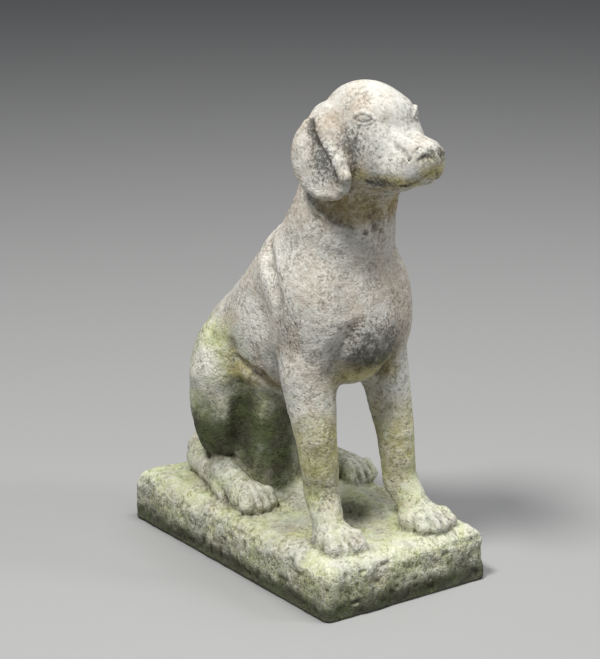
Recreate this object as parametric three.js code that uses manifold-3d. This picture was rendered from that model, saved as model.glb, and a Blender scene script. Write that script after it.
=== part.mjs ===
// A seated hound with hanging ears on its rectangular plinth, one casting in reconstituted stone.
// Millimetres, +Z up. The dog looks along -Y and its left side is at +X. The origin is the middle of the
// plinth's underside. The dog is shaped as a sculptor would build it in clay: rounded masses and tapered
// limbs are pressed together with soft joins, grooves are cut in, and one closed skin is drawn over all.
import * as THREE from "three";
import { mergeVertices } from "three/addons/utils/BufferGeometryUtils.js";
import Module from "manifold-3d";

// Driving dimensions.
const DOG_HEIGHT = 647; // top of the skull above the plinth's top
const PLINTH_HEIGHT = 80;
const FRONT_MARGIN = 17; // plinth in front of the foremost toes
const REAR_MARGIN = 38; // plinth behind the tail
const SIDE_MARGIN = 14; // plinth beside the outermost paw
const PLINTH_EDGE_RADIUS = 26; // worn upper edges
const PLINTH_CORNER_RADIUS = 14; // upright corners
const MOUND_HEIGHT = 19; // ground between the hind legs
const HOLLOW_DEPTH = 6; // ground between the front paws
const SKIN_STEP = 10; // spacing of the skin over the body
const FINE_SKIN_STEP = 4; // and over the head
const SKIN_FACES = 9400; // faces that the skin keeps
const HEAD_CARE = 5; // how much dearer a change of shape is on the head than on the body

const BELOW = 20; // the skin runs on below the floor and is cut off flat there

const SIDES = [-1, 1]; // the dog's right, then its left

// The head has its own frame: x to the dog's left, y backwards, z up, with the origin between the eyes.
const HEAD_PLACE = [5, -198, 606];
const HEAD_TURN = [0, 0, 4];
const SKULL = { middle: [0, 50, -13], half: [54, 70, 54] };

const FORELEGS = [
  {
    side: -1,
    elbow: [-67, -104, 232],
    mid: [-70, -130, 140],
    wrist: [-65, -138, 62],
    radii: [40, 29, 25],
    paw: { middle: [-80, -193], width: 32, reach: 44, height: 29, turn: -8, groove: 2.6 },
  },
  {
    side: 1,
    elbow: [62, -112, 226],
    mid: [65, -139, 130],
    wrist: [71, -145, 54],
    radii: [37, 27, 24],
    paw: { middle: [73, -197], width: 35, reach: 44, height: 29, turn: 3, groove: 2.8 },
  },
];
const HIND_PAWS = [
  { side: -1, middle: [-91, 8], width: 28, reach: 40, height: 36, turn: -2, groove: 2.8 },
  { side: 1, middle: [102, 18], width: 28, reach: 40, height: 36, turn: 4, groove: 2.8 },
];

// The tail curls round the dog's right haunch on the ground and thins out beside the hind paw.
const TAIL = [
  { at: [0, 160, 110], radius: 38 },
  { at: [-22, 186, 62], radius: 34 },
  { at: [-50, 192, 34], radius: 27 },
  { at: [-66, 178, 25], radius: 23 },
  { at: [-79, 132, 19], radius: 18 },
  { at: [-97, 80, 12], radius: 13 },
  { at: [-107, 54, 8], radius: 9 },
];

// The figure's own measures are for a dog of the height that they add up to, and grow with it.
const modelledHeight = HEAD_PLACE[2] + SKULL.middle[2] + SKULL.half[2];
const FIGURE_SCALE = DOG_HEIGHT / modelledHeight;

// The plinth keeps its margins round the toes, the tail and the outermost paw.
const paws = [...FORELEGS.map((leg) => leg.paw), ...HIND_PAWS];
const foremost = Math.min(...paws.map((paw) => paw.middle[1] - paw.reach));
const rearmost = Math.max(...TAIL.map(({ at, radius }) => at[1] + radius));
const outermost = Math.max(...paws.map((paw) => Math.abs(paw.middle[0]) + paw.width));
const plinthFront = foremost * FIGURE_SCALE - FRONT_MARGIN;
const plinthRear = rearmost * FIGURE_SCALE + REAR_MARGIN;
const plinthHalfWidth = outermost * FIGURE_SCALE + SIDE_MARGIN;

// Soft joins between two distance fields: negative is inside, and k is the width of the join.
function joined(a, b, k) {
  const near = Math.max(k - Math.abs(a - b), 0) / k;
  return Math.min(a, b) - near * near * k * 0.25;
}

function cutBy(a, b, k) {
  return -joined(-a, b, k);
}

function length(x, y, z) {
  return Math.sqrt(x * x + y * y + z * z);
}

// A turn given as degrees about X, then Y, then Z, as the three rows that take a point into the turned frame.
function turnedFrame([aboutX, aboutY, aboutZ]) {
  const euler = new THREE.Euler(
    THREE.MathUtils.degToRad(aboutX),
    THREE.MathUtils.degToRad(aboutY),
    THREE.MathUtils.degToRad(aboutZ),
    "ZYX",
  );
  const m = new THREE.Matrix4().makeRotationFromEuler(euler).elements;
  return [m[0], m[1], m[2], m[4], m[5], m[6], m[8], m[9], m[10]];
}

// An ellipsoid of the given half lengths.
function egg(centre, radii, turn = [0, 0, 0]) {
  const [cx, cy, cz] = centre;
  const [rx, ry, rz] = radii;
  const m = turnedFrame(turn);
  return {
    centre,
    reach: Math.max(rx, ry, rz),
    distance(x, y, z) {
      const px = x - cx;
      const py = y - cy;
      const pz = z - cz;
      const u = (m[0] * px + m[1] * py + m[2] * pz) / rx;
      const v = (m[3] * px + m[4] * py + m[5] * pz) / ry;
      const w = (m[6] * px + m[7] * py + m[8] * pz) / rz;
      const k0 = length(u, v, w);
      const k1 = length(u / rx, v / ry, w / rz);
      return k1 > 0 ? (k0 * (k0 - 1)) / k1 : -Math.min(rx, ry, rz);
    },
  };
}

// A tapered limb with round ends, from a to b.
function limb(a, b, ra, rb) {
  const ab = [b[0] - a[0], b[1] - a[1], b[2] - a[2]];
  const l2 = ab[0] ** 2 + ab[1] ** 2 + ab[2] ** 2;
  const rr = ra - rb;
  const a2 = l2 - rr * rr;
  const il2 = 1 / l2;
  return {
    centre: [(a[0] + b[0]) / 2, (a[1] + b[1]) / 2, (a[2] + b[2]) / 2],
    reach: Math.sqrt(l2) / 2 + Math.max(ra, rb),
    distance(x, y, z) {
      const px = x - a[0];
      const py = y - a[1];
      const pz = z - a[2];
      const along = px * ab[0] + py * ab[1] + pz * ab[2];
      const beyond = along - l2;
      const qx = px * l2 - ab[0] * along;
      const qy = py * l2 - ab[1] * along;
      const qz = pz * l2 - ab[2] * along;
      const x2 = qx * qx + qy * qy + qz * qz;
      const y2 = along * along * l2;
      const z2 = beyond * beyond * l2;
      const k = Math.sign(rr) * rr * rr * x2;
      if (Math.sign(beyond) * a2 * z2 > k)
        return Math.sqrt(x2 + z2) * il2 - rb;
      if (Math.sign(along) * a2 * y2 < k) return Math.sqrt(x2 + y2) * il2 - ra;
      return (Math.sqrt(x2 * a2 * il2) + along * rr) * il2 - ra;
    },
  };
}

// Clay pressed together: each lump is joined to what is there, and each groove is cut from it.
class Clay {
  steps = [];

  add(shape, soft) {
    this.steps.push({ shape, soft, cut: false });
    return this;
  }

  cut(shape, soft) {
    this.steps.push({ shape, soft, cut: true });
    return this;
  }

  // A limb through several points, each with its own radius.
  chain(points, radii, soft, linkSoft = 8) {
    for (let i = 0; i + 1 < points.length; i++)
      this.add(
        limb(points[i], points[i + 1], radii[i], radii[i + 1]),
        i ? linkSoft : soft,
      );
    return this;
  }

  groove(points, radii, soft) {
    for (let i = 0; i + 1 < points.length; i++)
      this.cut(limb(points[i], points[i + 1], radii[i], radii[i + 1]), soft);
    return this;
  }

  distance(x, y, z) {
    let d = 1e6;
    for (const { shape, soft, cut } of this.steps) {
      const [cx, cy, cz] = shape.centre;
      const far = length(x - cx, y - cy, z - cz) - shape.reach;
      if (cut ? far > -d + soft : far > d + soft) continue;
      const e = shape.distance(x, y, z);
      d = cut ? cutBy(d, e, soft) : joined(d, e, soft);
    }
    return d;
  }
}

const mirrored = (side, points) => points.map(([x, y, z]) => [side * x, y, z]);

function headClay() {
  const head = new Clay();
  head.add(egg(SKULL.middle, SKULL.half), 10);
  head.add(egg([0, 12, -14], [40, 29, 32]), 22);
  head.add(limb([0, -5, -49], [0, -68, -50], 31, 23), 20);
  head.add(limb([0, 15, -66], [0, 50, -76], 44, 54), 26);
  head.add(limb([0, -16, -82], [0, -60, -73], 22, 13), 12);
  for (const side of SIDES) {
    head.add(egg([side * 31, 20, -48], [26, 46, 42]), 20);
    head.add(egg([side * 17, -41, -58], [19, 43, 30], [0, 0, side * -4]), 12);
    head.add(limb([side * 19, -1, 3], [side * 33, 13, 4], 9, 9), 14);
    head.add(egg([side * 50, 80, -18], [16, 28, 28]), 18);
  }
  for (const side of SIDES) eyeClay(head, side);
  muzzleClay(head);
  return head;
}

// The eye looks out to the side and forward: a ball in a raised almond of lids.
function eyeClay(head, side) {
  const turn = [0, side * -14, side * -23];
  head.add(egg([side * 44.5, 6, -1.5], [8, 19, 12], turn), 5);
  head.cut(egg([side * 53, 1, 0.5], [8, 15, 6], turn), 2);
  head.add(egg([side * 42.5, 6.5, -2.5], [8.5, 11, 8], turn), 1.5);
}

// The square top edges of the muzzle, the nose with its nostrils, and the long line of the lips.
function muzzleClay(head) {
  const edge = [[12, -2, -19], [15, -32, -36], [14, -65, -39]];
  const furrow = [[31, -30, -24], [31, -45, -35], [31, -62, -44]];
  const wing = [[28.5, -66, -52], [28.5, -70, -46], [25, -72.5, -39], [17, -73, -33]];
  const lips = [[43, 0, -86], [37, -12, -90], [32, -28, -92], [28, -46, -90], [23, -62, -84], [14, -79, -74], [0, -89, -64]];
  for (const side of SIDES) {
    head.chain(mirrored(side, edge), [8, 13, 11], 8, 4);
    head.add(egg([side * 22, -36, -66], [15, 37, 25]), 9);
    head.groove(mirrored(side, furrow), [1.5, 2.4, 2], 6);
  }
  head.add(egg([0, -60, -78], [15, 12, 9]), 6);
  head.add(egg([0, -75.5, -42], [19, 12, 12]), 2);
  for (const side of SIDES) {
    head.add(egg([side * 16, -76.5, -43.5], [9, 9, 9]), 2);
    head.groove(mirrored(side, wing), [2.4, 2.4, 2, 1.6], 2);
    head.cut(limb([side * 13, -90, -44], [side * 26, -80, -50], 3.6, 2.8), 2);
    head.groove(mirrored(side, lips), [3, 4.2, 4.6, 4.6, 4.2, 3.4, 3], 2);
  }
  head.cut(limb([0, -92, -52], [0, -90, -65], 2.4, 2.4), 3);
}

// A hanging ear: a hollowed leaf with a rolled front edge, a crease behind the roll and a raised rim.
function earClay(side) {
  const ear = new Clay();
  const turn = [-24, side * -6, side * -22];
  const rim = [[75, 88, -16], [84, 92, -46], [86, 93, -72], [83.5, 79, -94], [77, 57, -107], [71.6, 30, -105], [69.5, 14, -94]];
  const roll = [[57, 66, 2], [68, 68, -12], [70.5, 62, -22], [70, 50, -42], [72, 25, -62], [72, 12.5, -78], [67, 18, -95]];
  const crease = [[78.5, 76, -9], [81, 70, -23], [80, 57, -43], [80.6, 33.4, -64.5], [81, 22, -82]];
  ear.add(egg([side * 72, 62, -63], [11, 45, 56], turn), 10);
  ear.add(egg([side * 69, 32, -80], [10, 22, 28]), 14);
  ear.add(egg([side * 60, 74, -24], [12, 24, 28], [-20, 0, side * -10]), 14);
  ear.cut(egg([side * 89, 57, -60], [9, 18, 34], turn), 6);
  ear.chain(mirrored(side, rim), [5, 6, 6, 6, 6, 6, 5], 5, 4);
  ear.chain(mirrored(side, roll), [7, 8, 8.5, 8.5, 9, 8, 7], 4, 4);
  ear.groove(mirrored(side, crease), [3, 4.4, 5, 5, 3.4], 3);
  return ear;
}

function trunkClay(body) {
  const neck = [[0, -66, 370], [2, -88, 430], [5, -108, 500], [6, -125, 560]];
  body.add(egg([0, -92, 301], [86, 92, 97], [-10, 0, 0]), 10);
  body.add(limb([0, -20, 345], [0, 105, 212], 82, 88), 30);
  body.add(limb([0, -40, 275], [0, 50, 225], 78, 80), 16);
  body.add(limb([0, 105, 212], [0, 120, 110], 88, 74), 20);
  body.chain(neck, [84, 71, 62, 57], 40, 24);
  body.add(egg([-3, -111, 480], [65, 73, 14], [41, 0, 0]), 3);
  throatClay(body);
  body.add(limb([-26, 46, 190], [-26, 48, 10], 32, 36), 16);
  body.add(limb([34, 56, 190], [32, 58, 10], 33, 34), 30);
  body.add(limb([0, 90, 150], [0, 96, 20], 60, 66), 20);
}

// Two cords of muscle from the jaw to the chest, with furrows beside them, and a ragged lump.
function throatClay(body) {
  body.cut(limb([-57, -151, 506], [-57, -150, 462], 12, 12), 8);
  body.add(limb([-29, -158, 490], [-20, -153.5, 449], 12, 12), 6);
  body.cut(limb([-11, -181, 480], [1, -172, 444], 8, 8), 6);
  body.add(limb([5, -177, 491], [18, -157, 440], 10, 10), 6);
  body.add(egg([-9, -160, 446], [9, 8, 11]), 3);
}

// Four toes fan out from the middle of a paw, with worn grooves between them.
function toeClay(body, { middle, width, reach, height, turn, groove }) {
  const c = Math.cos(THREE.MathUtils.degToRad(turn));
  const s = Math.sin(THREE.MathUtils.degToRad(turn));
  const spread = width - 1;
  const place = (x, y, z) => [middle[0] + x * c - y * s, middle[1] + x * s + y * c, z];
  for (const across of [-0.75, -0.25, 0.25, 0.75]) {
    const knuckle = place(across * spread * 0.85, -reach * 0.42, height - 12);
    const tip = place(across * spread, -reach + 10 + 10 * across * across, height * 0.5 - 5);
    body.add(limb(knuckle, tip, 12, 11), 3);
  }
  for (const across of [-0.5, 0, 0.5]) {
    const start = place(across * spread * 0.8, -reach * 0.3, height + 3);
    const bend = place(across * spread * 0.95, -reach * 0.75, height - 4);
    const end = place(across * spread, -reach - 1 + 6 * across * across, 4);
    body.groove([start, bend, end], [0.6 * groove, groove, groove], 2);
  }
}

function forelegClay(body) {
  for (const { side, elbow, mid, wrist, radii, paw } of FORELEGS) {
    const [x, y] = paw.middle;
    body.add(egg([side * 62, -98, 304], [37, 62, 98], [10, 0, 0]), 24);
    body.add(limb(elbow, mid, radii[0], radii[1]), 18);
    body.add(limb(mid, wrist, radii[1], radii[2]), 1.5);
    body.add(limb(wrist, [x, y + 18, 20], radii[2], 22), 6);
    body.add(egg([x, y, 10], [paw.width, 38, 22], [0, 0, paw.turn]), 10);
    toeClay(body, paw);
  }
  const rightPectoral = [[-62.5, -159, 239], [-64, -168, 272], [-47.5, -181, 298], [-31, -188, 318]];
  const leftPectoral = [[34, -140, 222], [42, -156, 257], [62, -170, 280]];
  const shoulderBlade = [[66.5, 3, 418], [90, -34, 381], [106.5, -74.5, 334], [107, -72, 264]];
  body.groove(rightPectoral, [12, 14, 14, 9], 10);
  body.groove(leftPectoral, [6, 9, 6], 12);
  for (const side of SIDES) body.groove(mirrored(side, shoulderBlade), [8, 12, 12, 8], 14);
}

function hindlegClay(body) {
  const knee = [[142, 138, 146], [133, 76, 153], [101, 40, 158]];
  const thighFront = [[100.5, 99, 252], [98.4, 64, 237], [96, 56, 214], [83.7, 57, 170], [78.6, 56, 141], [77, 66, 89]];
  const belly = [[90, 52, 214], [74, 11, 196], [45, -8, 168]];
  for (const paw of HIND_PAWS) {
    const { side } = paw;
    const [x, y] = paw.middle;
    body.add(egg([side * 76, 120, 152], [37, 52, 106]), 14);
    body.groove(mirrored(side, knee), [28, 28, 22], 24);
    body.groove(mirrored(side, thighFront), [8, 14, 14, 12, 12, 10], 10);
    body.groove(mirrored(side, belly), [10, 12, 9], 8);
    body.add(limb([side * 78, 104, 30], [x, y + 24, 20], 24, 22), 8);
    body.add(egg([x, y + 2, 14], [paw.width, 34, 27]), 8);
    toeClay(body, paw);
  }
}

function tailClay(body) {
  const points = TAIL.map(({ at }) => at);
  const radii = TAIL.map(({ radius }) => radius);
  body.chain(points, radii, 12, 4);
}

// The ground of the plinth: a mound between the hind legs, a dip before it, a low ledge across the
// middle and slow swells elsewhere.
function groundRise(worldX, worldY) {
  const x = worldX / FIGURE_SCALE;
  const y = worldY / FIGURE_SCALE;
  const bump = (cx, cy, wide, long) => Math.exp(-(((x - cx) / wide) ** 2) - ((y - cy) / long) ** 2);
  const mound = MOUND_HEIGHT * bump(10, 30, 75, 70);
  const dip = HOLLOW_DEPTH * bump(0, -165, 45, 50);
  const swell = 2.5 * Math.sin(x / 38 + 1) * Math.cos(y / 55);
  const across = (x - 19) * 0.815 + (y + 80) * 0.58;
  const ledge = 2.5 * Math.tanh(across / 3) * bump(45, -95, 45, 60);
  return mound - dip + (swell + ledge) * FIGURE_SCALE;
}

function plinthDistance(x, y, z) {
  const middle = (plinthFront + plinthRear) / 2;
  const halfLength = (plinthRear - plinthFront) / 2;
  const corner = PLINTH_CORNER_RADIUS;
  const qx = Math.abs(x) - plinthHalfWidth + corner;
  const qy = Math.abs(y - middle) - halfLength + corner;
  const wall = Math.hypot(Math.max(qx, 0), Math.max(qy, 0)) + Math.min(Math.max(qx, qy), 0) - corner;
  const edge = PLINTH_EDGE_RADIUS;
  const a = wall + edge;
  const b = z - PLINTH_HEIGHT - groundRise(x, y) + edge;
  return Math.hypot(Math.max(a, 0), Math.max(b, 0)) + Math.min(Math.max(a, b), 0) - edge;
}

const head = headClay();
const ears = SIDES.map(earClay);
const headFrame = turnedFrame(HEAD_TURN);
const body = new Clay();
trunkClay(body);
forelegClay(body);
hindlegClay(body);
tailClay(body);

function headDistance(x, y, z) {
  const px = x - HEAD_PLACE[0];
  const py = y - HEAD_PLACE[1];
  const pz = z - HEAD_PLACE[2];
  const m = headFrame;
  const u = m[0] * px + m[1] * py + m[2] * pz;
  const v = m[3] * px + m[4] * py + m[5] * pz;
  const w = m[6] * px + m[7] * py + m[8] * pz;
  const far = length(px, py, pz) - 170;
  if (far > 60) return { skull: far, ear: far };
  return { skull: head.distance(u, v, w), ear: Math.min(ears[0].distance(u, v, w), ears[1].distance(u, v, w)) };
}

export function statueDistance(x, y, z) {
  const plinth = plinthDistance(x, y, z);
  const fx = x / FIGURE_SCALE;
  const fy = y / FIGURE_SCALE;
  const fz = (z - PLINTH_HEIGHT) / FIGURE_SCALE;
  let dog = body.distance(fx, fy, fz);
  const { skull, ear } = headDistance(fx, fy, fz);
  dog = joined(dog, skull, 18);
  dog = joined(dog, ear, 5);
  return Math.max(joined(dog * FIGURE_SCALE, plinth, 10 * FIGURE_SCALE), -z - BELOW / 2);
}

// Grid lines from each stop to the next, no further apart than the step that the stop names.
export function gridLines(stops) {
  const lines = [stops[0].at];
  for (let i = 0; i + 1 < stops.length; i++) {
    const span = stops[i + 1].at - stops[i].at;
    const count = Math.ceil(span / stops[i].step);
    for (let n = 1; n <= count; n++)
      lines.push(stops[i].at + (span * n) / count);
  }
  return lines;
}

// One closed skin over a distance field, by surface nets: a point in each grid cell that the surface
// crosses, and a four-sided face around each grid edge that it crosses.
export function skinOver(distance, xs, ys, zs) {
  const nx = xs.length;
  const ny = ys.length;
  const nz = zs.length;
  const at = (i, j, k) => (k * ny + j) * nx + i;
  const field = fieldOn(distance, xs, ys, zs);

  fillPockets(field, nx, ny, nz);
  fillSaddles(field, nx, ny, nz);

  const cell = new Int32Array(field.length).fill(-1);
  const points = [];
  const corners = [0, 1, 2, 3, 4, 5, 6, 7].map((c) => [c & 1, (c >> 1) & 1, c >> 2]);
  const edges = [];
  for (let a = 0; a < 8; a++)
    for (const bit of [1, 2, 4]) if (!(a & bit)) edges.push([a, a | bit]);
  for (let k = 0; k + 1 < nz; k++)
    for (let j = 0; j + 1 < ny; j++)
      for (let i = 0; i + 1 < nx; i++) {
        const value = corners.map(([a, b, c]) => field[at(i + a, j + b, k + c)]);
        const inside = value.filter((d) => d < 0).length;
        if (inside === 0 || inside === 8) continue;
        const sum = [0, 0, 0];
        let crossings = 0;
        for (const [a, b] of edges) {
          if (value[a] < 0 === value[b] < 0) continue;
          const t = value[a] / (value[a] - value[b]);
          const p = corners[a];
          const q = corners[b];
          sum[0] += xs[i + p[0]] + t * (xs[i + q[0]] - xs[i + p[0]]);
          sum[1] += ys[j + p[1]] + t * (ys[j + q[1]] - ys[j + p[1]]);
          sum[2] += zs[k + p[2]] + t * (zs[k + q[2]] - zs[k + p[2]]);
          crossings++;
        }
        cell[at(i, j, k)] = points.length;
        points.push(
          settled(
            distance,
            sum.map((s) => s / crossings),
            [xs[i], ys[j], zs[k]],
            [xs[i + 1], ys[j + 1], zs[k + 1]],
          ),
        );
      }

  const faces = [];
  const step = [1, nx, nx * ny];
  for (let k = 1; k + 1 < nz; k++)
    for (let j = 1; j + 1 < ny; j++)
      for (let i = 1; i + 1 < nx; i++) {
        const here = at(i, j, k);
        for (let axis = 0; axis < 3; axis++) {
          const there = here + step[axis];
          if (field[here] < 0 === field[there] < 0) continue;
          const u = step[(axis + 1) % 3];
          const v = step[(axis + 2) % 3];
          const ring = [here - u - v, here - v, here, here - u].map((c) => cell[c]);
          if (field[here] >= 0) ring.reverse();
          splitShorter(points, ring, faces);
        }
      }
  return { points, faces };
}

// The distance at every grid point. A block of points that is clearly far from the surface takes the
// distance of its middle.
function fieldOn(distance, xs, ys, zs) {
  const block = 5;
  const starts = (list) => list.map((_, i) => i).filter((i) => i % block === 0);
  const ends = (list, i) => Math.min(i + block, list.length) - 1;
  const field = new Float32Array(xs.length * ys.length * zs.length);
  for (const k of starts(zs))
    for (const j of starts(ys))
      for (const i of starts(xs)) {
        const [i2, j2, k2] = [ends(xs, i), ends(ys, j), ends(zs, k)];
        const half = [xs[i2] - xs[i], ys[j2] - ys[j], zs[k2] - zs[k]].map((m) => m / 2);
        const middle = distance(xs[i] + half[0], ys[j] + half[1], zs[k] + half[2]);
        const far = Math.abs(middle) > 1.6 * length(...half) + 12;
        for (let c = k; c <= k2; c++)
          for (let b = j; b <= j2; b++)
            for (let a = i; a <= i2; a++)
              field[(c * ys.length + b) * xs.length + a] = far ? middle : distance(xs[a], ys[b], zs[c]);
      }
  return field;
}

// Air that is shut in on all sides becomes clay: only what can be reached from the first corner stays open.
function fillPockets(field, nx, ny, nz) {
  const open = new Uint8Array(field.length);
  const queue = [0];
  open[0] = 1;
  while (queue.length) {
    const a = queue.pop();
    const i = a % nx;
    const j = Math.floor(a / nx) % ny;
    const k = Math.floor(a / (nx * ny));
    const next = [];
    if (i > 0) next.push(a - 1);
    if (i + 1 < nx) next.push(a + 1);
    if (j > 0) next.push(a - nx);
    if (j + 1 < ny) next.push(a + nx);
    if (k > 0) next.push(a - nx * ny);
    if (k + 1 < nz) next.push(a + nx * ny);
    for (const b of next)
      if (!open[b] && field[b] >= 0) {
        open[b] = 1;
        queue.push(b);
      }
  }
  field.forEach((d, a) => {
    if (d >= 0 && !open[a]) field[a] = -0.01;
  });
}

// A cell face whose corners alternate would pinch the skin, so its shallower outside corner is filled.
function fillSaddles(field, nx, ny, nz) {
  const step = [1, nx, nx * ny];
  const size = [nx, ny, nz];
  let changed = true;
  while (changed) {
    changed = false;
    for (let axis = 0; axis < 3; axis++) {
      const u = step[(axis + 1) % 3];
      const v = step[(axis + 2) % 3];
      const limit = size.map((n, a) => (a === axis ? n : n - 1));
      for (let k = 0; k < limit[2]; k++)
        for (let j = 0; j < limit[1]; j++)
          for (let i = 0; i < limit[0]; i++) {
            const a = (k * ny + j) * nx + i;
            const ring = [a, a + u, a + u + v, a + v];
            const out = ring.map((c) => field[c] >= 0);
            if (out[0] !== out[2] || out[1] !== out[3] || out[0] === out[1]) continue;
            const [p, q] = out[0] ? [ring[0], ring[2]] : [ring[1], ring[3]];
            field[field[p] < field[q] ? p : q] = -0.01;
            changed = true;
          }
    }
  }
}

// Moves a point onto the surface along the field's slope, staying inside its own grid cell.
function settled(distance, start, low, high) {
  const p = start;
  const h = 0.2;
  for (let n = 0; n < 3; n++) {
    const [x, y, z] = p;
    const d = distance(x, y, z);
    const slope = [distance(x + h, y, z) - d, distance(x, y + h, z) - d, distance(x, y, z + h) - d];
    const steep = length(...slope) ** 2 / h || 1;
    for (let a = 0; a < 3; a++) {
      const margin = 0.04 * (high[a] - low[a]);
      const moved = p[a] - (d * slope[a]) / steep;
      p[a] = Math.min(high[a] - margin, Math.max(low[a] + margin, moved));
    }
  }
  return p;
}

function splitShorter(points, [a, b, c, d], faces) {
  const span = (p, q) => Math.hypot(...points[p].map((v, i) => v - points[q][i]));
  if (span(a, c) < span(b, d)) faces.push(a, b, c, a, c, d);
  else faces.push(a, b, d, b, c, d);
}

// Draws neighbouring points of a closed skin together, the least change of shape first, until no more
// than `limit` faces are left. Each point carries the planes of the faces that it has stood for, and care
// says how much a change of shape counts at a point.
function thinned(skin, limit, care) {
  const place = skin.points;
  const faces = [];
  for (let f = 0; f < skin.faces.length; f += 3) faces.push(skin.faces.slice(f, f + 3));
  const around = place.map(() => new Set());
  faces.forEach((face, f) => face.forEach((v) => around[v].add(f)));
  const planes = place.map(() => new Float64Array(10));
  for (const face of faces) {
    const n = faceNormal(face.map((v) => place[v]));
    const area = Math.hypot(...n) || 1e-9;
    const [a, b, c] = n.map((m) => m / area);
    const d = -(a * place[face[0]][0] + b * place[face[0]][1] + c * place[face[0]][2]);
    const q = [a * a, a * b, a * c, a * d, b * b, b * c, b * d, c * c, c * d, d * d];
    const weight = area * care(place[face[0]]);
    for (const v of face) q.forEach((m, i) => (planes[v][i] += m * weight));
  }

  const age = new Int32Array(place.length);
  const heap = new Heap();
  const offer = (u, v) => {
    const q = new Float64Array(10);
    for (let i = 0; i < 10; i++) q[i] = planes[u][i] + planes[v][i];
    const spot = bestSpot(q, place[u], place[v]);
    heap.push({ cost: changeAt(q, spot), u, v, spot, q, ageU: age[u], ageV: age[v] });
  };
  const neighbours = (v) => {
    const ring = new Set();
    for (const f of around[v]) for (const w of faces[f]) if (w !== v) ring.add(w);
    return ring;
  };
  const turnsOver = (v, gone, spot) => {
    for (const f of around[v]) {
      if (faces[f].includes(gone)) continue;
      const before = faceNormal(faces[f].map((w) => place[w]));
      const after = faceNormal(faces[f].map((w) => (w === v ? spot : place[w])));
      const dot = before[0] * after[0] + before[1] * after[1] + before[2] * after[2];
      if (dot < 0.3 * Math.hypot(...before) * Math.hypot(...after)) return true;
    }
    return false;
  };

  place.forEach((_, u) => {
    for (const v of neighbours(u)) if (u < v) offer(u, v);
  });
  let left = faces.length;
  while (left > limit) {
    const edge = heap.pop();
    if (!edge) break;
    const { u, v, spot } = edge;
    if (age[u] !== edge.ageU || age[v] !== edge.ageV) continue;
    const ringV = neighbours(v);
    const shared = [...neighbours(u)].filter((w) => ringV.has(w));
    if (shared.length !== 2 || turnsOver(u, v, spot) || turnsOver(v, u, spot)) continue;
    for (const f of [...around[v]]) {
      if (faces[f].includes(u)) {
        for (const w of faces[f]) around[w].delete(f);
        faces[f] = null;
        left--;
      } else {
        faces[f][faces[f].indexOf(v)] = u;
        around[u].add(f);
      }
    }
    around[v].clear();
    place[u] = spot;
    planes[u] = edge.q;
    age[v] = -1;
    age[u]++;
    for (const w of neighbours(u)) offer(u, w);
  }

  const number = new Map();
  const kept = [];
  const thin = faces.filter(Boolean).flatMap((face) =>
    face.map((v) => {
      if (!number.has(v)) number.set(v, kept.push(place[v]) - 1);
      return number.get(v);
    }),
  );
  return { points: kept, faces: thin };
}

function faceNormal([p, q, r]) {
  const a = q.map((m, i) => m - p[i]);
  const b = r.map((m, i) => m - p[i]);
  return [a[1] * b[2] - a[2] * b[1], a[2] * b[0] - a[0] * b[2], a[0] * b[1] - a[1] * b[0]];
}

function changeAt(q, [x, y, z]) {
  const flat = q[0] * x * x + 2 * q[1] * x * y + 2 * q[2] * x * z + 2 * q[3] * x;
  const deep = q[4] * y * y + 2 * q[5] * y * z + 2 * q[6] * y + q[7] * z * z + 2 * q[8] * z + q[9];
  return flat + deep;
}

// The spot that departs least from all the planes, held lightly to the middle of the edge.
function bestSpot(q, p, r) {
  const middle = p.map((m, i) => (m + r[i]) / 2);
  const hold = 0.004 * (q[0] + q[4] + q[7]) + 1e-9;
  const m = new THREE.Matrix3(q[0] + hold, q[1], q[2], q[1], q[4] + hold, q[5], q[2], q[5], q[7] + hold);
  const pull = new THREE.Vector3(
    hold * middle[0] - q[3],
    hold * middle[1] - q[6],
    hold * middle[2] - q[8],
  );
  return pull.applyMatrix3(m.invert()).toArray();
}

// The edge with the least cost comes out first.
class Heap {
  list = [];

  push(item) {
    const { list } = this;
    let n = list.push(item) - 1;
    while (n > 0) {
      const up = (n - 1) >> 1;
      if (list[up].cost <= item.cost) break;
      list[n] = list[up];
      n = up;
    }
    list[n] = item;
  }

  pop() {
    const { list } = this;
    const first = list[0];
    const item = list.pop();
    if (!list.length) return first;
    let n = 0;
    for (;;) {
      let down = 2 * n + 1;
      if (down >= list.length) break;
      if (down + 1 < list.length && list[down + 1].cost < list[down].cost) down++;
      if (list[down].cost >= item.cost) break;
      list[n] = list[down];
      n = down;
    }
    list[n] = item;
    return first;
  }
}

const wasm = await Module();
wasm.setup();

function solidOf(points, faces) {
  return new wasm.Manifold(
    new wasm.Mesh({
      numProp: 3,
      vertProperties: new Float32Array(points.flat()),
      triVerts: new Uint32Array(faces),
    }),
  );
}

function solidOfGeometry(geometry) {
  const bare = geometry.clone();
  bare.deleteAttribute("normal");
  bare.deleteAttribute("uv");
  const merged = mergeVertices(bare);
  return new wasm.Manifold(
    new wasm.Mesh({
      numProp: 3,
      vertProperties: new Float32Array(merged.attributes.position.array),
      triVerts: new Uint32Array(merged.index.array),
    }),
  );
}

function geometryOf(solid) {
  const mesh = solid.getMesh();
  const geometry = new THREE.BufferGeometry();
  geometry.setAttribute("position", new THREE.BufferAttribute(new Float32Array(mesh.vertProperties), 3));
  geometry.setIndex(new THREE.BufferAttribute(new Uint32Array(mesh.triVerts), 1));
  geometry.computeVertexNormals();
  return geometry;
}

const ROOM = 30;
const headBottom = PLINTH_HEIGHT + 425 * FIGURE_SCALE;
const top = PLINTH_HEIGHT + DOG_HEIGHT + ROOM;
const headBack = -60 * FIGURE_SCALE;
const noseTip = -330 * FIGURE_SCALE;

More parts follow.
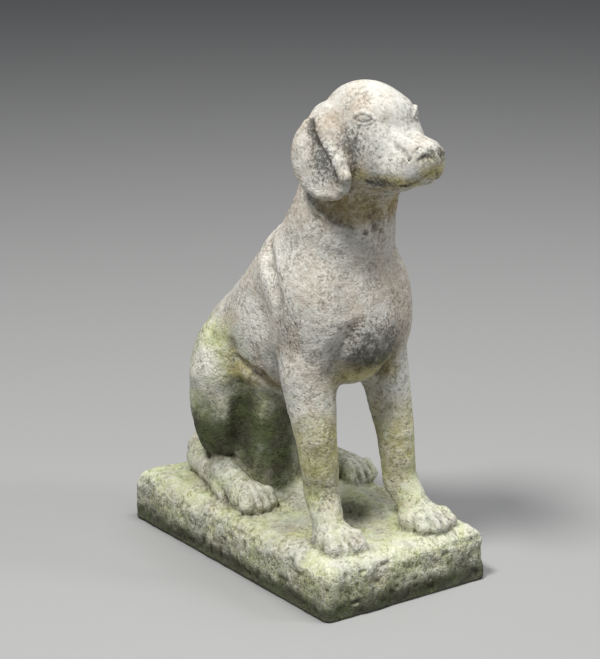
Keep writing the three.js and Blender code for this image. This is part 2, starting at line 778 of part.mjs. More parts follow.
const skin = skinOver(
  statueDistance,
  gridLines([
    { at: -plinthHalfWidth - ROOM, step: SKIN_STEP },
    { at: -110 * FIGURE_SCALE, step: FINE_SKIN_STEP },
    { at: 110 * FIGURE_SCALE, step: SKIN_STEP },
    { at: plinthHalfWidth + ROOM },
  ]),
  gridLines([
    { at: Math.min(noseTip, plinthFront - ROOM), step: FINE_SKIN_STEP },
    { at: headBack, step: SKIN_STEP },
    { at: plinthRear + ROOM },
  ]),
  gridLines([
    { at: -2 * BELOW, step: SKIN_STEP },
    { at: headBottom, step: FINE_SKIN_STEP },
    { at: top },
  ]),
);

const floorCut = new THREE.BoxGeometry(4 * plinthHalfWidth, 2 * (plinthRear - plinthFront), 4 * BELOW);
floorCut.translate(0, (plinthFront + plinthRear) / 2, -2 * BELOW);
const onHead = ([, y, z]) => z > headBottom + 60 * FIGURE_SCALE && y < -80 * FIGURE_SCALE;
const thin = thinned(skin, SKIN_FACES, (point) => (onHead(point) ? HEAD_CARE : 1));
const statue = solidOf(thin.points, thin.faces).subtract(solidOfGeometry(floorCut));

const stone = new THREE.MeshStandardMaterial({ color: 0xb9b59f, roughness: 0.92, metalness: 0 });
const dog = new THREE.Mesh(geometryOf(statue), stone);
dog.name = "dog_statue";

const model = new THREE.Group();
model.add(dog);

export default model;
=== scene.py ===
"""A seated hound with hanging ears on its rough plinth, one casting in weathered stone.

The figure is pressed together from rounded masses as in clay, one skin is drawn over all, and the
skin is then worn, pitted and stained, with light and shade painted into its colour in places.
Measures are millimetres until the skin becomes a mesh.
"""

import math

import bpy
import numpy as np
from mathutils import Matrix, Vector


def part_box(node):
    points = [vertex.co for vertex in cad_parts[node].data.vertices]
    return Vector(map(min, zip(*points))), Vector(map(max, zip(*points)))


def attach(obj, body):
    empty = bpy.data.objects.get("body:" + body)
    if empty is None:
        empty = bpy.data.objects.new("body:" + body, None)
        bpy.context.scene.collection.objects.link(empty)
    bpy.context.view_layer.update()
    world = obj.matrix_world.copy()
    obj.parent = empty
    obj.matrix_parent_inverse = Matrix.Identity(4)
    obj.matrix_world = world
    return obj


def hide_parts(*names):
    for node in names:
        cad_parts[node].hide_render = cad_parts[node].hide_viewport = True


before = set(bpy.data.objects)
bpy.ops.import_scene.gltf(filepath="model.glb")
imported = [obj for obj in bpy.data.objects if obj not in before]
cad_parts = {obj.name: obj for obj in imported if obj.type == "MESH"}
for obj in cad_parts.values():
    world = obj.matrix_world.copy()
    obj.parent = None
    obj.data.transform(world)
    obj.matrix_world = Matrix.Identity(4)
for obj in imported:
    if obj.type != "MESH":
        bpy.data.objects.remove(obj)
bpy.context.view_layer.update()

MM = 0.001
SIDES = (-1, 1)  # the dog's right, then its left

lowest, highest = (np.array(corner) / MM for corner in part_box("dog_statue"))
PLINTH_HEIGHT = 80.0
MODELLED_TOP = 727.0  # height over all that the figure's measures were taken at
FIGURE_SCALE = (highest[2] - PLINTH_HEIGHT) / (MODELLED_TOP - PLINTH_HEIGHT)
PLINTH_HALF_WIDTH = (highest[0] - lowest[0]) / 2
PLINTH_REAR = highest[1]
PLINTH_FRONT = -PLINTH_REAR
EDGE_RADIUS = 26.0
CORNER_RADIUS = 14.0

# How softly the large masses run into each other.
HEAD_JOIN = 18.0
EAR_JOIN = 5.0
PLINTH_JOIN = 10.0

SKIN_STEP = 2.8  # between the points of the skin
FINE_STEP = 1.9  # and over the head
EYE_STEP = 1.2  # and across the eyes
SKIN_FACES = 188000

FAR_OUTSIDE = 400.0  # the distance that the field holds where no clay reaches
LUMP_REACH = 42.0  # how far round a lump its distances are worked out
GROOVE_REACH = 4.0  # and round a groove
PLINTH_REACH = 60.0  # how far above the plinth's top its own distances are worked out
ON_THE_GROUND = 0.8  # what lies lower stays flat on the ground


# Soft shapes


def turned_frame(turn):
    """Rows that take a point into a frame turned by degrees about X, then Y, then Z."""
    x, y, z = (math.radians(t) for t in turn)
    rx = np.array([[1, 0, 0], [0, math.cos(x), -math.sin(x)], [0, math.sin(x), math.cos(x)]])
    ry = np.array([[math.cos(y), 0, math.sin(y)], [0, 1, 0], [-math.sin(y), 0, math.cos(y)]])
    rz = np.array([[math.cos(z), -math.sin(z), 0], [math.sin(z), math.cos(z), 0], [0, 0, 1]])
    return (rz @ ry @ rx).T


class Egg:
    """An ellipsoid of the given half lengths."""

    def __init__(self, centre, radii, turn=(0, 0, 0)):
        self.centre = np.array(centre, float)
        self.radii = radii
        self.rows = turned_frame(turn)
        self.reach = max(radii)

    def distance(self, x, y, z):
        """About the distance to the skin, below zero inside."""
        px, py, pz = x - self.centre[0], y - self.centre[1], z - self.centre[2]
        scaled = 0.0
        steep = 0.0
        for row, radius in zip(self.rows, self.radii):
            u = (row[0] * px + row[1] * py + row[2] * pz) / radius
            scaled = scaled + u * u
            steep = steep + (u / radius) ** 2
        k0 = np.sqrt(scaled)
        return k0 * (k0 - 1) / np.sqrt(steep + 1e-12)


class Limb:
    """A tapered limb with round ends, from a to b."""

    def __init__(self, a, b, ra, rb):
        self.a = np.array(a, float)
        self.ab = np.array(b, float) - self.a
        self.ra, self.rb = ra, rb
        self.centre = self.a + self.ab / 2
        self.reach = np.linalg.norm(self.ab) / 2 + max(ra, rb)

    def distance(self, x, y, z):
        """The distance to the skin, below zero inside."""
        ab = self.ab
        px, py, pz = x - self.a[0], y - self.a[1], z - self.a[2]
        length = math.sqrt(ab @ ab)
        along = (px * ab[0] + py * ab[1] + pz * ab[2]) / length
        off = np.sqrt(np.maximum(px * px + py * py + pz * pz - along * along, 0))
        lean = min(max((self.ra - self.rb) / length, -0.98), 0.98)
        # the nearest point of the axis for a skin that leans
        t = np.clip((along - off * lean / math.sqrt(1 - lean * lean)) / length, 0, 1)
        reach = self.ra + (self.rb - self.ra) * t
        return np.sqrt(off * off + (along - t * length) ** 2) - reach


def joined(a, b, soft):
    """Both bodies as one, with a fillet where they meet."""
    near = np.maximum(soft - np.abs(a - b), 0) / soft
    return np.minimum(a, b) - near * near * soft * 0.25


def cut_by(a, b, soft):
    """The first body without the second, with a soft edge."""
    return -joined(-a, b, soft)


class Clay:
    """Lumps joined to what is there, and grooves cut from it."""

    def __init__(self):
        self.steps = []

    def add(self, shape, soft):
        self.steps.append((shape, soft, False))

    def cut(self, shape, soft):
        self.steps.append((shape, soft, True))

    def chain(self, points, radii, soft, link_soft=8.0):
        """A row of limbs through the points, the first joined to what is there with its own softness."""
        for i in range(len(points) - 1):
            self.add(Limb(points[i], points[i + 1], radii[i], radii[i + 1]), link_soft if i else soft)

    def groove(self, points, radii, soft):
        """A furrow through the points."""
        for i in range(len(points) - 1):
            self.cut(Limb(points[i], points[i + 1], radii[i], radii[i + 1]), soft)

    def field(self, lines, local=None, to_world=lambda p: p):
        """Distances on the grid of the three lines.

        Clay in a turned frame takes the grid's coordinates in that frame, and to_world takes a shape's
        centre out of it.
        """
        out = np.full([len(line) for line in lines], FAR_OUTSIDE, np.float32)
        for shape, soft, is_cut in self.steps:
            reach = shape.reach + soft + (GROOVE_REACH if is_cut else LUMP_REACH)
            spans = tuple(
                slice(*np.searchsorted(line, [middle - reach, middle + reach]))
                for line, middle in zip(lines, to_world(shape.centre))
            )
            if any(s.start >= s.stop for s in spans):
                continue
            if local is None:
                near = [line[s] for line, s in zip(lines, spans)]
                place = np.meshgrid(*near, indexing="ij", sparse=True)
            else:
                place = [axis[spans] for axis in local]
            distance = shape.distance(*place).astype(np.float32)
            combine = cut_by if is_cut else joined
            out[spans] = combine(out[spans], distance, soft)
        return out


# The figure

HEAD_PLACE = np.array([5.0, -198.0, 606.0])
HEAD_TURN = (0, 0, 4)
HEAD_SPACE = ((-150, 155), (-330, -20), (400, 720))  # what head and ears reach, in the figure's measures


def head_clay():
    """The skull, the brow, the muzzle's core, the jaws and cheeks, then the eyes, nose and lips."""
    head = Clay()
    head.add(Egg([0, 50, -13], [54, 70, 54]), 10)
    head.add(Egg([0, 12, -14], [40, 29, 32]), 22)
    head.add(Limb([0, -5, -49], [0, -68, -50], 31, 23), 20)
    head.add(Limb([0, 15, -66], [0, 50, -76], 44, 54), 26)
    head.add(Limb([0, -16, -82], [0, -60, -73], 22, 13), 12)
    for side in SIDES:
        head.add(Egg([side * 31, 20, -48], [26, 46, 42]), 20)
        head.add(Egg([side * 17, -41, -58], [19, 43, 30], [0, 0, side * -4]), 12)
        head.add(Limb([side * 19, -1, 3], [side * 33, 13, 4], 9, 9), 14)
        head.add(Egg([side * 50, 80, -18], [16, 28, 28]), 18)
    for side in SIDES:
        eye(head, side)
    muzzle(head)
    return head


def mirrored(side, points):
    """Points of the left half, on the given side."""
    return [[side * x, y, z] for x, y, z in points]


# How far the right and the left eye sit from the measured place, across and along the head, and how
# many degrees they turn forward.
EYE_SHIFTS = {-1: (0, 0, 0), 1: (-9, -12.7, 17)}
EYE_MIDDLE = (44.3, 7.6)


def eye(head, side):
    """A ball in almond lids that looks out to the side and forward, with a crease above the upper lid."""
    across, along, forward = EYE_SHIFTS[side]
    c, s = math.cos(math.radians(forward)), math.sin(math.radians(forward))

    def place(point):
        x, y = point[0] - EYE_MIDDLE[0], point[1] - EYE_MIDDLE[1]
        moved_x = EYE_MIDDLE[0] + across + x * c + y * s
        moved_y = EYE_MIDDLE[1] + along - x * s + y * c
        return [side * moved_x, moved_y, point[2]]

    outer, inner = [51, 22.7, -5.2], [37.6, -7.5, -2]
    upper = [outer, [49, 17, 2.3], [46, 7, 6.6], [41.8, -1.5, 4.6], inner]
    lower = [outer, [50.6, 10.4, -8], [47.2, 1.1, -8.4], [42, -5, -6.2], inner]
    crease = [[54.2, 28.5, 2], [50.3, 21, 10.5], [46.3, 9.5, 15], [40.3, -2, 12]]
    turn = [-6, side * -14, side * (-24 - forward)]
    head.groove([place(p) for p in crease], [1, 2.0, 2.2, 1.2], 3)
    head.cut(Egg(place([52, 6, -1]), [6, 13.5, 6.5], turn), 2.5)
    head.chain([place(p) for p in upper], [1.6, 3.2, 3.6, 3.0, 1.6], 2, 2)
    head.chain([place(p) for p in lower], [1.0, 1.5, 1.6, 1.4, 1.0], 2, 2)
    head.add(Egg(place([42.4, 6, -1.4]), [7.8, 11.5, 7.6], turn), 0.8)


# Lines of the left half of the head, from its back to its front or from its top down.
LIPS = [
    [43, 0, -86],
    [37, -12, -90],
    [32, -28, -92],
    [28, -46, -90],
    [23, -62, -84],
    [14, -79, -74],
    [0, -89, -64],
]
EAR_CREASE = [[78.5, 76.3, -9], [80.8, 70.4, -23.1], [79.8, 57.2, -43.4], [80.6, 33.4, -64.5], [81, 22, -82]]
EAR_ROLL = [
    [57, 66, 2],
    [68, 68, -12],
    [70.5, 62, -22],
    [70, 49.7, -41.8],
    [72, 25.2, -62.4],
    [72, 12.4, -78.4],
    [67, 18, -95],
]
EAR_RIM = [
    [75, 88, -16],
    [84, 92, -45.8],
    [86, 93, -72.4],
    [83.5, 79, -94],
    [77, 57, -107],
    [71.6, 30, -105],
    [69.5, 14, -94],
]


def muzzle(head):
    """The square top edges of the muzzle, the nose with its nostrils, and the long line of the lips."""
    wing = [[28.5, -66, -52], [28.5, -70, -46], [25, -72.5, -39], [17, -73, -33]]
    furrow = [[31, -30, -24], [31, -45, -35], [31, -62, -44]]
    for side in SIDES:
        head.chain(mirrored(side, [[12, -2, -19], [15, -32, -36], [14, -65, -39]]), [8, 13, 11], 8, 4)
        head.add(Egg([side * 22, -36, -66], [15, 37, 25]), 9)
        head.groove(mirrored(side, furrow), [1.5, 2.4, 2], 6)
    head.add(Egg([0, -60, -78], [15, 12, 9]), 6)
    head.add(Egg([0, -75.5, -42], [19, 12, 12]), 2)
    for side in SIDES:
        head.add(Egg([side * 16, -76.5, -43.5], [9, 9, 9]), 2)
        head.groove(mirrored(side, wing), [1.8, 1.8, 1.6, 1.2], 1.5)
        head.cut(Limb([side * 11, -90, -45], [side * 16, -87.5, -43], 3.4, 3.4), 2)
        head.cut(Limb([side * 16, -87.5, -43], [side * 26, -80, -50], 3, 2.2), 1.5)
        head.groove(mirrored(side, LIPS), [2, 3.4, 4.2, 4.2, 3.8, 3, 2.5], 1.5)
    head.cut(Limb([0, -92.5, -50], [0, -90, -65], 2, 2), 2)


def ear_clay(side):
    """A hanging ear: a hollowed leaf with a rolled front edge, a crease behind the roll and a raised rim."""
    ear = Clay()
    turn = [-24, side * -6, side * -22]
    ear.add(Egg([side * 72, 62, -63], [11, 45, 56], turn), 10)
    ear.add(Egg([side * 69, 32, -80], [10, 22, 28]), 14)
    ear.add(Egg([side * 60, 74, -24], [12, 24, 28], [-20, 0, side * -10]), 14)
    ear.cut(Egg([side * 89, 57, -60], [9, 18, 34], turn), 6)
    ear.chain(mirrored(side, EAR_RIM), [5, 6, 6, 6, 6, 6, 5], 5, 4)
    ear.chain(mirrored(side, EAR_ROLL), [7, 8, 8.5, 8.5, 9, 8, 7], 4, 4)
    ear.groove(mirrored(side, EAR_CREASE), [2.5, 4, 4.5, 4.5, 3], 3)
    return ear


def trunk(body):
    """The chest, back, rump and neck with its fold, and the stone that fills the space under the belly."""
    body.add(Egg([0, -92, 301], [86, 92, 97], [-10, 0, 0]), 10)
    body.add(Limb([0, -20, 345], [0, 105, 212], 82, 88), 30)
    body.add(Limb([0, -40, 275], [0, 50, 225], 78, 80), 16)
    body.add(Limb([0, 105, 212], [0, 120, 110], 88, 74), 20)
    body.chain([[0, -66, 370], [2, -88, 430], [5, -108, 500], [6, -125, 560]], [84, 71, 62, 57], 40, 24)
    body.add(Egg([-3, -111, 480], [65, 73, 14], [41, 0, 0]), 3)
    throat(body)
    body.add(Limb([-26, 46, 190], [-26, 48, 10], 32, 36), 16)
    body.add(Limb([34, 56, 190], [32, 58, 10], 33, 34), 30)
    body.add(Limb([0, 90, 150], [0, 96, 20], 60, 66), 20)


def throat(body):
    """Two cords of muscle from the jaw to the chest, with furrows beside them, and a ragged lump."""
    body.cut(Limb([-57, -151, 506], [-57, -150, 462], 12, 12), 8)
    body.add(Limb([-29, -158, 490], [-20, -153.5, 449], 12, 12), 6)
    body.cut(Limb([-11, -181, 480], [1, -172, 444], 8, 8), 6)
    body.add(Limb([5, -177, 491], [18, -157, 440], 10, 10), 6)
    body.add(Egg([-9, -160, 446], [9, 8, 11]), 3)


def toes(body, centre, turn, spread, reach, height, groove):
    """Four toes that fan out from the middle of a paw, with worn grooves between them."""
    c, s = math.cos(math.radians(turn)), math.sin(math.radians(turn))

    def place(x, y, z):
        return [centre[0] + x * c - y * s, centre[1] + x * s + y * c, z]

    for across in (-0.75, -0.25, 0.25, 0.75):
        knuckle = place(across * spread * 0.85, -reach * 0.42, height - 12)
        tip = place(across * spread, -reach + 10 + 10 * across * across, height * 0.5 - 5)
        body.add(Limb(knuckle, tip, 12, 11), 3)
    for across in (-0.5, 0, 0.5):
        start = place(across * spread * 0.8, -reach * 0.3, height + 3)
        bend = place(across * spread * 0.95, -reach * 0.75, height - 4)
        end = place(across * spread, -reach - 1 + 6 * across * across, 4)
        body.groove([start, bend, end], [0.6 * groove, groove, groove], 2)


FORELEGS = (
    {
        "side": -1,
        "elbow": [-67, -104, 232],
        "mid": [-70, -130, 140],
        "wrist": [-65, -138, 62],
        "radii": [40, 29, 25],
        "paw": [-80, -193],
        "width": 32,
        "turn": -8,
        "groove": 2.2,
    },
    {
        "side": 1,
        "elbow": [62, -112, 226],
        "mid": [65, -139, 130],
        "wrist": [71, -145, 54],
        "radii": [37, 27, 24],
        "paw": [73, -197],
        "width": 35,
        "turn": 3,
        "groove": 2.8,
    },
)


def forelegs(body):
    """Shoulders, forelegs and forepaws, the furrows of the chest and the edges of the shoulder blades."""
    for leg in FORELEGS:
        x, y = leg["paw"]
        body.add(Egg([leg["side"] * 62, -98, 304], [37, 62, 98], [10, 0, 0]), 24)
        thick, middle, thin = leg["radii"]
        body.add(Limb(leg["elbow"], leg["mid"], thick, middle), 18)
        body.add(Limb(leg["mid"], leg["wrist"], middle, thin), 1.5)
        body.add(Limb(leg["wrist"], [x, y + 18, 20], thin, 22), 6)
        body.add(Egg([x, y, 10], [leg["width"], 38, 22], [0, 0, leg["turn"]]), 10)
        toes(body, leg["paw"], leg["turn"], leg["width"] - 3, 44, 29, leg["groove"])
    chest_right = [[-62.5, -159, 239], [-64, -168, 272], [-47.5, -181, 298], [-31, -188, 318]]
    body.groove(chest_right, [12, 14, 14, 9], 10)
    body.groove([[34, -140, 222], [42, -156, 257], [62, -170, 280]], [6, 9, 6], 12)
    blade = [[66.5, 3, 418], [90, -34, 381], [106.5, -74.5, 334], [107, -72, 264]]
    for side in SIDES:
        body.groove(mirrored(side, blade), [8, 12, 12, 8], 14)


HIND_PAWS = ((-1, [-91, 8], -2), (1, [102, 18], 4))
HAUNCH_FRONT = [
    [100.5, 99, 252],
    [98.4, 64, 237],
    [96, 56, 214],
    [83.7, 57, 170],
    [78.6, 56, 141],
    [77, 66, 89],
]


def hind_legs(body):
    """Haunches with the valleys before them, the folds at the belly, and the long hind paws."""
    for side, paw, turn in HIND_PAWS:
        body.add(Egg([side * 76, 120, 152], [37, 52, 106]), 14)
        body.groove([[side * 142, 138, 146], [side * 133, 76, 153], [side * 101, 40, 158]], [28, 28, 22], 24)
        body.groove(mirrored(side, HAUNCH_FRONT), [8, 14, 14, 12, 12, 10], 10)
        belly = [[90, 52, 214], [74, 11, 196], [45, -8, 168]]
        body.groove(mirrored(side, belly), [10, 12, 9], 8)
        body.add(Limb([side * 78, 104, 30], [paw[0], paw[1] + 24, 20], 24, 22), 8)
        body.add(Egg([paw[0], paw[1] + 2, 14], [28, 34, 27]), 8)
        toes(body, paw, turn, 28, 40, 36, 2.8)


# Down from the rump and forward along the right haunch.
TAIL = [
    [0, 160, 110],
    [-22, 186, 62],
    [-50, 192, 34],
    [-66, 178, 25],
    [-79, 132, 19],
    [-97, 80, 12],
    [-107, 54, 8],
]


def tail(body):
    body.chain(TAIL, [38, 34, 27, 23, 18, 13, 9], 12, 4)


# The plinth

MOUND_HEIGHT = 19
HOLLOW_DEPTH = 6
SWELL_HEIGHT = 2.5
LEDGE_HEIGHT = 2.5


def ground_rise(x, y):
    """A mound under the dog, a hollow before its forepaws, slow swells and a slanting ledge."""

    def bump(cx, cy, wide, long):
        return np.exp(-(((x - cx) / wide) ** 2) - ((y - cy) / long) ** 2)

    swell = SWELL_HEIGHT * np.sin(x / 38 + 1) * np.cos(y / 55)
    across = (x - 19) * 0.815 + (y + 80) * 0.58
    ledge = LEDGE_HEIGHT * np.tanh(across / 3) * bump(45, -95, 45, 60)
    mound = MOUND_HEIGHT * bump(10, 30, 75, 70)
    return mound - HOLLOW_DEPTH * bump(0, -165, 45, 50) + swell + ledge


def plinth_field(x, y, z):
    """Distances to a block with round upright corners and a worn top edge."""
    middle = (PLINTH_FRONT + PLINTH_REAR) / 2
    qx = np.abs(x) - PLINTH_HALF_WIDTH + CORNER_RADIUS
    qy = np.abs(y - middle) - (PLINTH_REAR - PLINTH_FRONT) / 2 + CORNER_RADIUS
    outside = np.sqrt(np.maximum(qx, 0) ** 2 + np.maximum(qy, 0) ** 2)
    wall = outside + np.minimum(np.maximum(qx, qy), 0) - CORNER_RADIUS
    a = wall + EDGE_RADIUS
    b = z - PLINTH_HEIGHT - ground_rise(x, y) + EDGE_RADIUS
    rounded = np.sqrt(np.maximum(a, 0) ** 2 + np.maximum(b, 0) ** 2)
    return rounded + np.minimum(np.maximum(a, b), 0) - EDGE_RADIUS


# Noise

DICE = 4096
CELL_KEYS = (73856093, 19349663, 83492791)  # large primes that tell the cells apart


def lattice_noise(points, size, seed):
    """Smooth noise from -1 to 1 with lumps of about the given size, at points of shape (n, 3)."""
    dice = np.random.default_rng(seed).uniform(-1, 1, DICE).astype(np.float32)
    p = points / size
    cell = np.floor(p).astype(np.int64)
    t = p - cell
    t = t * t * (3 - 2 * t)
    total = 0.0
    for dx in (0, 1):
        for dy in (0, 1):
            for dz in (0, 1):
                kx, ky, kz = ((cell[:, a] + d) * CELL_KEYS[a] for a, d in enumerate((dx, dy, dz)))
                weight = np.abs(1 - dx - t[:, 0]) * np.abs(1 - dy - t[:, 1]) * np.abs(1 - dz - t[:, 2])
                total = total + weight * dice[(kx ^ ky ^ kz) & (DICE - 1)]
    return total


# The skin


def statue_field(xs, ys, zs):
    """Distances to the whole statue on the grid of the lines xs, ys, zs."""
    fx, fy, fz = xs / FIGURE_SCALE, ys / FIGURE_SCALE, (zs - PLINTH_HEIGHT) / FIGURE_SCALE
    body = Clay()
    trunk(body)
    forelegs(body)
    hind_legs(body)
    tail(body)
    dog = body.field((fx, fy, fz))

    spans = [slice(*np.searchsorted(line, limits)) for line, limits in zip((fx, fy, fz), HEAD_SPACE)]
    lines = [line[span] for line, span in zip((fx, fy, fz), spans)]
    rows = turned_frame(HEAD_TURN)
    grid = np.meshgrid(*lines, indexing="ij", sparse=True)
    offset = [g - place for g, place in zip(grid, HEAD_PLACE)]
    local = [
        (row[0] * offset[0] + row[1] * offset[1] + row[2] * offset[2]).astype(np.float32) for row in rows
    ]

    def to_world(p):
        return rows.T @ p + HEAD_PLACE

    near = dog[tuple(spans)]
    near[...] = joined(near, head_clay().field(lines, local, to_world), HEAD_JOIN)
    for side in SIDES:
        near[...] = joined(near, ear_clay(side).field(lines, local, to_world), EAR_JOIN)

    dog *= FIGURE_SCALE
    low = slice(0, int(np.searchsorted(zs, PLINTH_HEIGHT + PLINTH_REACH)))
    plinth = plinth_field(*np.meshgrid(xs, ys, zs[low], indexing="ij", sparse=True)).astype(np.float32)
    dog[:, :, low] = joined(dog[:, :, low], plinth, PLINTH_JOIN)
    return np.maximum(dog, -zs[None, None, :].astype(np.float32))


def grid_lines(stops):
    """Lines from each stop to the next, no further apart than the step that the stop names."""
    spans = [
        np.linspace(at, end, math.ceil((end - at) / step), endpoint=False)
        for (at, step), (end, _) in zip(stops, stops[1:])
    ]
    return np.concatenate(spans + [[stops[-1][0]]])


def skin_over(field, xs, ys, zs):
    """A point in each grid cell that the surface crosses, and a face round each grid edge it crosses."""
    inside = field < 0
    corners = [(a, b, c) for a in (0, 1) for b in (0, 1) for c in (0, 1)]
    shape = tuple(n - 1 for n in field.shape)

    def at(corner):
        return tuple(slice(o, o + n) for o, n in zip(corner, shape))

    count = sum(inside[at(c)].astype(np.int8) for c in corners)
    crossed = (count > 0) & (count < 8)
    number = np.full(shape, -1, np.int64)
    cells = np.argwhere(crossed)
    number[crossed] = np.arange(len(cells))
    lines = (xs, ys, zs)
    total = np.zeros((len(cells), 3))
    hits = np.zeros(len(cells))
    for corner in corners:
        for axis in range(3):
            if corner[axis]:
                continue
            other = list(corner)
            other[axis] = 1
            p, q = cells + corner, cells + other
            vp = field[tuple(p.T)].astype(float)
            vq = field[tuple(q.T)].astype(float)
            hit = (vp < 0) != (vq < 0)
            t = np.where(hit, vp / np.where(hit, vp - vq, 1), 0)
            for a in range(3):
                place = lines[a][p[:, a]] + (t * (lines[a][q[:, a]] - lines[a][p[:, a]]) if a == axis else 0)
                total[:, a] += np.where(hit, place, 0)
            hits += hit
    points = total / hits[:, None]

    quads = []
    for axis in range(3):
        u, v = (axis + 1) % 3, (axis + 2) % 3
        low = [slice(1, -1)] * 3
        high = [slice(1, -1)] * 3
        high[axis] = slice(2, None)
        edge = inside[tuple(low)] != inside[tuple(high)]
        base = np.argwhere(edge) + 1
        out = ~inside[tuple(base.T)]
        ring = []
        for du, dv in ((-1, -1), (0, -1), (0, 0), (-1, 0)):
            c = base.copy()
            c[:, u] += du
            c[:, v] += dv
            c = np.minimum(c, np.array(shape) - 1)
            ring.append(number[tuple(c.T)])
        ring = np.stack(ring, 1)
        ring[out] = ring[out][:, ::-1]
        quads.append(ring)
    return points, np.concatenate(quads)


def normals_of(points, quads):
    """Outward directions at the points, weighted by the faces round them."""
    across = np.cross(points[quads[:, 2]] - points[quads[:, 0]], points[quads[:, 3]] - points[quads[:, 1]])
    normal = np.zeros_like(points)
    for k in range(4):
        for a in range(3):
            normal[:, a] += np.bincount(quads[:, k], across[:, a], len(points))
    return normal / (np.linalg.norm(normal, axis=1, keepdims=True) + 1e-9)


def smooth_step(low, high, x):
    """From 0 at low to 1 at high, level at both ends."""
    t = np.clip((x - low) / (high - low), 0, 1)
    return t * t * (3 - 2 * t)


def worn(points, normal):
    """Weathering: slow swells, a crust of coarse grain, and broken pits on the plinth's sides."""
    on_side = smooth_step(0.75, 0.35, normal[:, 2]) * smooth_step(96, 70, points[:, 2])
    on_plinth = smooth_step(104, 84, points[:, 2])
    head = smooth_step(540, 640, points[:, 2])
    throat = np.exp(-(((points - (0, -150, 566)) / (70, 60, 50)) ** 2).sum(1))
    grain = 0.55 * lattice_noise(points, 10, 1) + 0.6 * lattice_noise(points, 6, 2)
    crust = 0.7 - 1.6 * np.abs(lattice_noise(points, 13, 8))
    amount = 0.9 - 0.72 * head + 1.2 * throat
    shift = amount * (grain + 0.35 * crust) + 0.9 * lattice_noise(points, 26, 3) * (1 - head)
    hewn = 2.0 * lattice_noise(points, 36, 4) + 1.5 * lattice_noise(points, 17, 5)
    pits = np.minimum(lattice_noise(points, 11, 6) + 0.3, 0) * 5
    pits = pits + np.minimum(lattice_noise(points, 7, 9) + 0.3, 0) * 4
    shift += on_side * (hewn + pits) + 0.9 * on_plinth * lattice_noise(points, 15, 7)
    foot = smooth_step(0.5, 6, points[:, 2])
    return points + normal * (shift * foot)[:, None]


def statue_mesh():
    """The skin as a mesh in metres, with the finest grid where the eyes are."""
    low, high = lowest - 4 * SKIN_STEP, highest + 4 * SKIN_STEP

    def stops(axis, *inner):
        base = PLINTH_HEIGHT if axis == 2 else 0
        return [(base + at * FIGURE_SCALE, step) for at, step in inner] + [(high[axis], 0)]

    right_eye = [(-95, FINE_STEP), (-58, EYE_STEP), (-30, FINE_STEP)]
    left_eye = [(30, EYE_STEP), (60, FINE_STEP), (95, SKIN_STEP)]
    along = [(-224, EYE_STEP), (-164, FINE_STEP), (-95, SKIN_STEP)]
    upward = [(470, FINE_STEP), (592, EYE_STEP), (626, FINE_STEP)]
    lines = [
        grid_lines([(low[0], SKIN_STEP)] + stops(0, *right_eye, *left_eye)),
        grid_lines([(low[1], FINE_STEP)] + stops(1, *along)),
        grid_lines([(-2 * SKIN_STEP, SKIN_STEP)] + stops(2, *upward)),
    ]
    field = statue_field(*lines)
    points, quads = skin_over(field, *lines)
    normal = normals_of(points, quads)
    flat = points[:, 2] < ON_THE_GROUND
    points = worn(points, normal)
    points[flat, 2] = 0
    points[:, 2] = np.maximum(points[:, 2], 0)
    mesh = bpy.data.meshes.new("statue_stone")
    mesh.vertices.add(len(points))
    mesh.vertices.foreach_set("co", (points * MM).astype(np.float32).ravel())
    mesh.loops.add(quads.size)
    mesh.loops.foreach_set("vertex_index", quads.astype(np.int32).ravel())
    mesh.polygons.add(len(quads))
    mesh.polygons.foreach_set("loop_start", np.arange(0, quads.size, 4, dtype=np.int32))
    mesh.update(calc_edges=True)
    mesh.validate()
    return mesh


def in_figure(points):
    """Points in the measures of the figure, from the plinth's top up."""
    return np.stack([points[:, 0], points[:, 1], points[:, 2] - PLINTH_HEIGHT], 1) / FIGURE_SCALE


def in_head(figure):
    """Points of the figure in the turned frame of the head."""
    return (figure - HEAD_PLACE) @ turned_frame(HEAD_TURN).T


def on_features(points):
    """Points on the eyes, the nose and the lips, where the skin keeps all its faces."""
    figure = in_figure(points)
    x, y, z = in_head(figure).T
    eye_ball = ((np.abs(x) - 43) / 17) ** 2 + ((y - 4) / 29) ** 2 + ((z - 1) / 17) ** 2 < 1
    nose = ((y + 76) / 20) ** 2 + ((z + 46) / 16) ** 2 < 1
    mouth = (np.abs(z + 84 + 0.28 * np.minimum(y + 50, 0)) < 7) & (y < 0) & (figure[:, 2] > 490)
    return eye_ball | ((np.abs(x) < 34) & (nose | mouth))


def thinned_skin(statue):
    """Draws the plain parts of the skin together until SKIN_FACES are left."""
    mesh = statue.data
    faces = len(mesh.polygons) * 2
    points = np.empty(len(mesh.vertices) * 3, np.float32)
    mesh.vertices.foreach_get("co", points)
    kept = statue.vertex_groups.new(name="features")
    kept.add(np.nonzero(on_features(points.reshape(-1, 3) / MM))[0].tolist(), 1.0, "REPLACE")
    thin = statue.modifiers.new("thin", "DECIMATE")
    thin.ratio = min(1, SKIN_FACES / faces)
    thin.vertex_group = kept.name
    thin.invert_vertex_group = True
    depsgraph = bpy.context.evaluated_depsgraph_get()
    mesh = bpy.data.meshes.new_from_object(statue.evaluated_get(depsgraph))
    statue.modifiers.clear()
    statue.vertex_groups.clear()
    statue.data = mesh


statue = bpy.data.objects.new("stone_dog", statue_mesh())
bpy.context.scene.collection.objects.link(statue)
thinned_skin(statue)
statue.data.polygons.foreach_set("use_smooth", [True] * len(statue.data.polygons))
